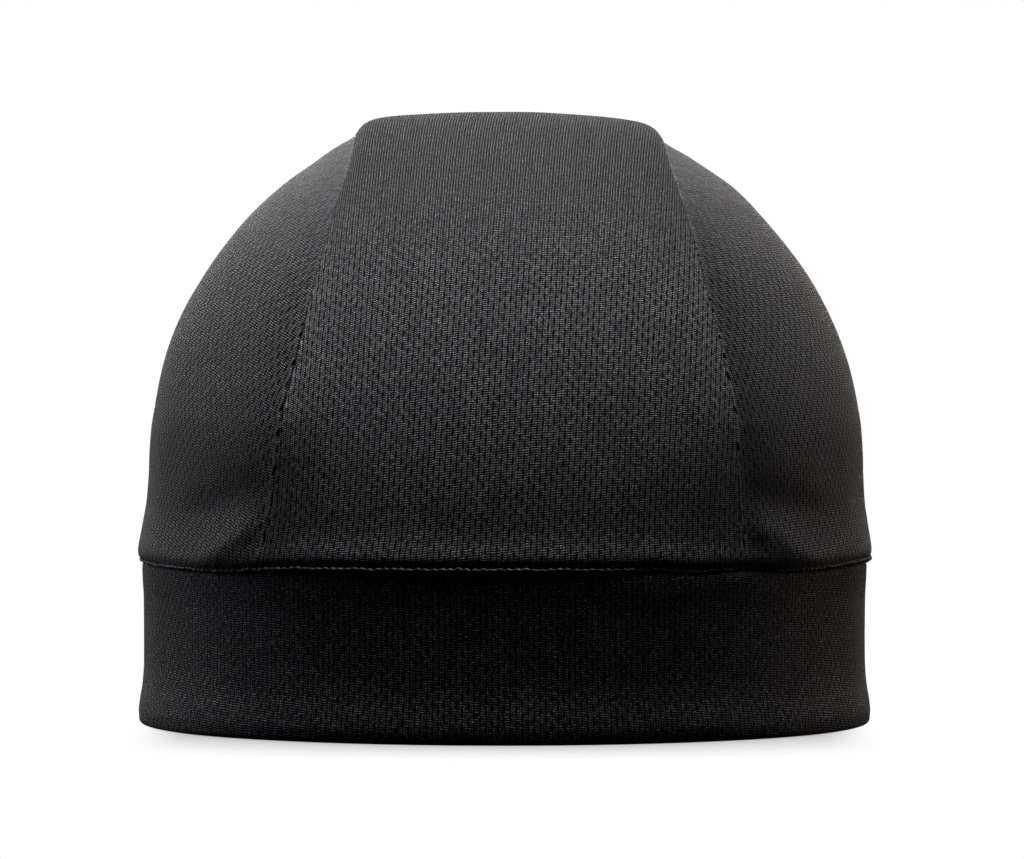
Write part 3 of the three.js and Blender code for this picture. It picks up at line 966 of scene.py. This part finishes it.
def knit_pattern(n, closed, look):
    """The pique knit's holes and loops, and random values for its loops and fibres."""
    uv, u, v = n.uv_parts("knit")
    u = n.math("ADD", u, n.wander(uv, *COLUMN_WANDER))
    v = n.math("ADD", v, n.wander(uv, *ROW_WANDER))
    turned = n.soft_step(n.facing(), *TURNED_AWAY)
    beside = n.math("SUBTRACT", n.math("FRACT", u), 0.5)
    half_drop = n.times(n.math("FLOORED_MODULO", n.math("FLOOR", u), 2.0), 0.5)
    up = n.math("SUBTRACT", n.math("FRACT", n.math("ADD", v, half_drop)), 0.5)
    # The holes gape where the cloth turns away, and close over the top
    width = n.ratio(beside, n.times(turned, look["gape"] * HOLE_WIDTH, HOLE_WIDTH), 2.0)
    hole = n.soft_step(n.math("ADD", width, n.ratio(up, HOLE_LENGTH, 4.0)), *HOLE_EDGE)
    hole = n.product(hole, n.times(closed, -HOLE_CLOSING * look["depth"], look["depth"]))
    # Two wales of loops lie between the columns of holes, and their loops slant both ways
    half_column = n.math("FLOOR", n.times(u, 2.0))
    wale = n.math("COSINE", n.times(u, 4 * math.pi))
    shift, _ = n.cell_noise(n.pair(half_column, 0.0))
    slant = n.math("ADD", n.times(wale, ZIGZAG), n.times(shift, COURSE_SHIFT))
    course = n.math("ADD", n.times(v, COURSES), slant)
    ridge = n.times(n.math("COSINE", n.times(course, 2 * math.pi)), 0.5, 0.5)
    off_middle = n.soft_step(n.math("ABSOLUTE", beside), 0.0, RUNG_REACH)
    rung = n.product(n.times(wale, *WALE_TONES), n.times(off_middle, *RUNG_TONES))
    loop, _ = n.cell_noise(n.pair(half_column, n.math("ROUND", course)))
    across, along = FIBERS
    cell = n.pair(n.math("ROUND", n.times(u, across)), n.math("ROUND", n.times(course, along)))
    fiber, tint = n.cell_noise(cell)
    return SimpleNamespace(
        uv=uv,
        turned=turned,
        hole=hole,
        ridge=ridge,
        rung=rung,
        wale=wale,
        loop=loop,
        fiber=fiber,
        tint=tint,
    )


def on_left(n):
    return n.step_along("X", SIDES_PART, -SIDES_PART)


def left_or_right(n, values):
    """The first of two values on the cap's left, and the second on its right."""
    left, right = values
    return n.times(on_left(n), left - right, right)


def seam_work(n):
    """How plainly the seams show: most from half height down, least over the top."""
    return n.times(n.step_along("Z", *SEAM_PLAIN), 1 - SEAM_LEAST, SEAM_LEAST)


def seam_holes(n):
    """Needle holes along the centre panel's edge, drawn out along the seam."""
    _, distance, place = n.uv_parts("seam")
    place = n.math("ADD", place, n.wander(n.pair(0.0, place), *SLIT_WANDER))
    along = n.math("SUBTRACT", n.math("FRACT", n.math("DIVIDE", place, STITCH)), 0.5)
    length = n.ratio(along, SLIT_LENGTH, 2.0)
    width = n.ratio(n.math("SUBTRACT", distance, SLIT_AT), SLIT_WIDTH, 2.0)
    slit = n.soft_step(n.math("ADD", width, length), *SLIT_EDGE)
    return n.product(slit, seam_work(n), left_or_right(n, SLIT_SHADE))


def painted_edge_highlight(n, stitched):
    """Painted highlights on the turned edges along a seam: in nubs on the left, in a fine line on the
    right.
    """
    _, distance, place = n.uv_parts("seam")
    at, reach, strengths = CENTER_EDGE_HIGHLIGHT if stitched else SIDE_EDGE_HIGHLIGHT
    highlight = n.bell(n.math("SUBTRACT", distance, at), reach)
    nubs = n.math("POWER", n.noise(n.pair(0.0, place), NUB_SCALE), NUB_SHARPNESS)
    return n.times(n.product(highlight, nubs, seam_work(n)), left_or_right(n, strengths), 1.0)


def painted_foot_shade(n):
    """Painted shade for the hollow on the centre panel beside the seams' feet: deeper on the left."""
    _, distance, _ = n.uv_parts("seam")
    near_foot = n.product(n.bell(distance, FOOT_SHADE_REACH), n.step_along("Z", *FOOT_SHADE_HEIGHT))
    return n.times(n.product(near_foot, left_or_right(n, FOOT_SHADE)), -1.0, 1.0)


def painted_side_shade(n):
    """Painted shade and sheen: the side panels are darker seen straight on than turned away, the right
    one's most.
    """
    turned = n.soft_step(n.facing(), *PAINTED_SHEEN_TURN)
    high = n.step_along("Z", *PAINTED_LIGHT_HEIGHT)
    left = n.product(n.times(turned, *LEFT_PAINTED_SHEEN), n.times(high, *LEFT_PAINTED_LIGHT_BY_HEIGHT))
    return n.mix("FLOAT", on_left(n), n.times(turned, *RIGHT_PAINTED_SHEEN), left)


def loop_light(n, knit, look):
    """Tones of the loops: each a bright rung, uneven from loop to loop and from fibre to fibre."""
    sharpness, *tones = look["sparkle"]
    light = n.product(
        n.times(n.math("POWER", knit.ridge, LOOP_SHARPNESS), LOOP_LIGHT),
        knit.rung,
        n.times(knit.loop, *LOOP_TONES),
        n.times(n.math("POWER", knit.fiber, sharpness), *tones),
    )
    gain = look["gain"]
    return n.mix("FLOAT", look["calm"], n.times(light, gain), CALM_TONE * gain)


def top_light(n, knit, look):
    """Seen over the top, each wale is a bright line between dark ones."""
    tone, lines, dim = look["top"]
    line = n.math("POWER", n.times(knit.wale, -0.5, 0.5), 2.0)
    light = n.times(line, LINE_LIGHT * lines * tone, (1 - lines) * tone)
    uneven = n.product(n.times(knit.fiber, *TOP_FIBER_TONES), n.times(knit.loop, *TOP_LOOP_TONES))
    return n.product(light, uneven, n.times(knit.turned, -dim, 1.0))


def knit_material(name, color, look, stitched=False, shade=None):
    """Black pique knit: half-dropped holes between fine loops, uneven in tone from fibre to fibre."""
    material = bpy.data.materials.new(name)
    n = Nodes(material)
    closed = n.step_along("Z", *PLAIN_TOP)
    knit = knit_pattern(n, closed, look)
    hole = n.math("MAXIMUM", knit.hole, seam_holes(n)) if stitched else knit.hole
    light = n.mix("FLOAT", n.times(closed, TOP_SHARE), loop_light(n, knit, look), top_light(n, knit, look))
    clouds = n.math("ADD", n.wander(knit.uv, *CLOUDS), 1.0)
    # Painted highlights along the seams' turned edges lighten the tone here
    light = n.product(light, clouds, n.times(hole, -HOLE_SHADE, 1.0), painted_edge_highlight(n, stitched))
    # shade paints shade onto the tone, and on the side panels sheen as well
    if shade:
        light = n.product(light, shade(n))
    cool, warm = ((*(part * share for part, share in zip(color, tint)), 1) for tint in (COOL, WARM))
    height = n.math("SUBTRACT", n.product(knit.ridge, knit.rung, RUNG_HEIGHT), hole)
    shader = n.add("ShaderNodeBsdfPrincipled")
    n.feed(shader.inputs["Base Color"], n.scale_color(n.mix("RGBA", knit.tint, cool, warm), light))
    n.feed(shader.inputs["Normal"], n.bump_normal(height, KNIT_RELIEF))
    n.feed(shader.inputs["Roughness"], n.times(knit.fiber, *FIBER_ROUGHNESS))
    shader.inputs["Specular IOR Level"].default_value = 0.06
    shader.inputs["Sheen Weight"].default_value = look["sheen"]
    shader.inputs["Sheen Roughness"].default_value = 0.4
    shader.inputs["Sheen Tint"].default_value = (1.0, 0.97, 0.94, 1.0)
    n.finish(shader.outputs["BSDF"])
    return material


def yarn_material(name, color, twist, frizz):
    """Twisted yarn: slanting plies with a rough, uneven tone."""
    material = bpy.data.materials.new(name)
    n = Nodes(material)
    uv, place, around = n.uv_parts("knit")
    ply = n.math("ADD", n.times(place, 2 * math.pi / twist), around)
    plies = n.times(n.math("COSINE", ply), 0.5, 0.5)
    rough = n.noise(uv, frizz, FRIZZ_DETAIL)
    along, across = STRANDS
    cell = n.pair(n.math("ROUND", n.times(place, along)), n.math("ROUND", n.times(around, across)))
    strand, _ = n.cell_noise(cell)
    light = n.product(
        n.times(n.math("POWER", plies, 2.0), *PLY_TONES),
        n.times(rough, *FRIZZ_TONES),
        n.times(n.math("POWER", strand, 2.0), *STRAND_TONES),
    )
    shader = n.add("ShaderNodeBsdfPrincipled")
    n.feed(shader.inputs["Base Color"], n.scale_color(color, light))
    n.feed(shader.inputs["Normal"], n.bump_normal(n.product(plies, rough), YARN_RELIEF))
    n.feed(shader.inputs["Roughness"], n.times(rough, *YARN_ROUGHNESS))
    shader.inputs["Specular IOR Level"].default_value = 0.3
    shader.inputs["Sheen Weight"].default_value = 0.1
    n.finish(shader.outputs["BSDF"])
    return material


# Stage: floor, white surround, lights and camera


# The shadow on the floor: samples, reach, places where it ends at the sides, and gain and base of its shade
SHADOW_SAMPLES = 8
SHADOW_REACH = 60.0
SHADOW_SIDES = (88.0, 72.0)
SHADOW_TONES = (-1.1, 1.07)

# In metres
FLOOR_SIZE = 12.0
SURROUND_RADIUS = 5.9

CAMERA_HEIGHT = 118.7
CAMERA_AWAY = 2018.0
CAMERA_TARGET = (1.8, 0.0, 69.9)
LENS = 297.0


def make_camera():
    camera = bpy.data.objects.new("camera", bpy.data.cameras.new("camera"))
    bpy.context.collection.objects.link(camera)
    camera.location = Vector((CAMERA_TARGET[0], -CAMERA_AWAY, CAMERA_HEIGHT)) * MM
    look = Vector(CAMERA_TARGET) * MM - camera.location
    camera.rotation_euler = look.to_track_quat("-Z", "Y").to_euler()
    camera.data.lens = LENS
    camera.data.sensor_width = 36
    camera.data.clip_end = 100
    bpy.context.scene.camera = camera


def white_material(name):
    material = bpy.data.materials.new(name)
    n = Nodes(material)
    n.finish(n.add("ShaderNodeEmission").outputs[0])
    return material


def floor_material():
    """Plain white, with a soft shadow where the cap stands close, before it and behind it."""
    material = bpy.data.materials.new("floor")
    n = Nodes(material)
    open_sky = n.add("ShaderNodeAmbientOcclusion", samples=SHADOW_SAMPLES)
    open_sky.inputs["Distance"].default_value = SHADOW_REACH * MM
    low, high = SHADOW_SIDES
    near_middle = n.soft_step(n.math("ABSOLUTE", n.place("X")), low * MM, high * MM)
    shade = n.product(n.times(open_sky.outputs["AO"], *SHADOW_TONES), near_middle)
    glow = n.add("ShaderNodeEmission")
    n.feed(glow.inputs["Color"], n.mix("RGBA", shade, WHITE, BLACK))
    n.finish(glow.outputs[0])
    return material


def make_stage():
    bpy.ops.mesh.primitive_plane_add(size=FLOOR_SIZE)
    floor = bpy.context.object
    floor.name = "floor"
    floor.data.materials.append(floor_material())
    floor.visible_diffuse = False
    floor.visible_glossy = False
    bpy.ops.mesh.primitive_uv_sphere_add(radius=SURROUND_RADIUS, segments=48, ring_count=24)
    surround = bpy.context.object
    surround.name = "surround"
    surround.data.materials.append(white_material("surround"))
    for way in ("visible_diffuse", "visible_glossy", "visible_shadow", "visible_transmission"):
        setattr(surround, way, False)


# Area lights: place and size in metres, power in watts, and colour
LIGHTS = {
    "over": ((0, 0, 1.8), (0.9, 0.9), 43.0, (0.99, 0.98, 1.0)),
    "over_back": ((0, 0.9, 1.6), (1.2, 0.8), 8.5, (1.0, 1.0, 0.85)),
    "over_left": ((-1.0, 0, 1.5), (0.8, 1.2), 2.5, (0.47, 0.54, 1.0)),
    "back_left": ((-1.3, 1.0, 0.5), (0.8, 1.0), 8.6, (0.97, 0.9, 1.0)),
    "back_left_high": ((-0.9, 1.0, 1.2), (0.8, 0.8), 5.1, (0.93, 1.0, 0.74)),
    "back_right": ((1.3, 1.0, 0.5), (0.8, 1.0), 6.3, (1.0, 0.83, 0.7)),
    "back": ((0, 1.7, 0.4), (1.5, 0.8), 20.4, (1.0, 0.95, 0.83)),
}
LIGHT_TARGET = (0, 0, 0.08)
WORLD_GLOW = 0.005


def make_lights():
    for name, (place, size, watts, color) in LIGHTS.items():
        data = bpy.data.lights.new(name, "AREA")
        data.shape = "RECTANGLE"
        data.size, data.size_y = size
        data.energy = watts
        data.color = color
        light = bpy.data.objects.new(name, data)
        bpy.context.collection.objects.link(light)
        light.location = place
        aim = Vector(LIGHT_TARGET) - light.location
        light.rotation_euler = aim.to_track_quat("-Z", "Y").to_euler()
    world = bpy.data.worlds.new("studio")
    world.use_nodes = True
    background = world.node_tree.nodes["Background"]
    background.inputs["Color"].default_value = WHITE
    background.inputs["Strength"].default_value = WORLD_GLOW
    bpy.context.scene.world = world
    bpy.context.scene.view_settings.view_transform = "Standard"


# Putting it together


# The centre panel's shade is painted beside the seams' feet
center_cloth = knit_material("crown_knit_stitched", CROWN_COLOR, CENTER_LOOK, stitched=True, shade=painted_foot_shade)
# The side panels' shade and sheen are painted by their turn and height
side_cloth = knit_material("crown_knit", CROWN_COLOR, SIDE_LOOK, shade=painted_side_shade)
band_cloth = knit_material("band_knit", BAND_COLOR, BAND_LOOK)
welt_yarn = yarn_material("welt_yarn", WELT_COLOR_WITH_PAINTED_LIGHT, WELT_TWIST, WELT_FRIZZ)
sewing_yarn = yarn_material("sewing_yarn", THREAD_COLOR, THREAD_TWIST, THREAD_FRIZZ)

center_panel = make_center_panel()
left_panel = make_side_panel("side_panel_left_knit", -1)
right_panel = make_side_panel("side_panel_right_knit", 1)
band = make_band_object()
for piece, node, cloth, slot in (
    (center_panel, "crown_center_panel", center_cloth, "crown_knit"),
    (left_panel, "crown_side_panel_left", side_cloth, "crown_knit"),
    (right_panel, "crown_side_panel_right", side_cloth, "crown_knit"),
    (band, "band", band_cloth, "band_knit"),
    (make_welt(), None, welt_yarn, "band_knit"),
    (make_seam_thread("seam_thread_left", -1), None, sewing_yarn, "crown_knit"),
    (make_seam_thread("seam_thread_right", 1), None, sewing_yarn, "crown_knit"),
):
    piece.data.materials.append(cloth)
    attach(piece, "root")
    if node:
        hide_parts(node)

make_camera()
make_stage()
make_lights()
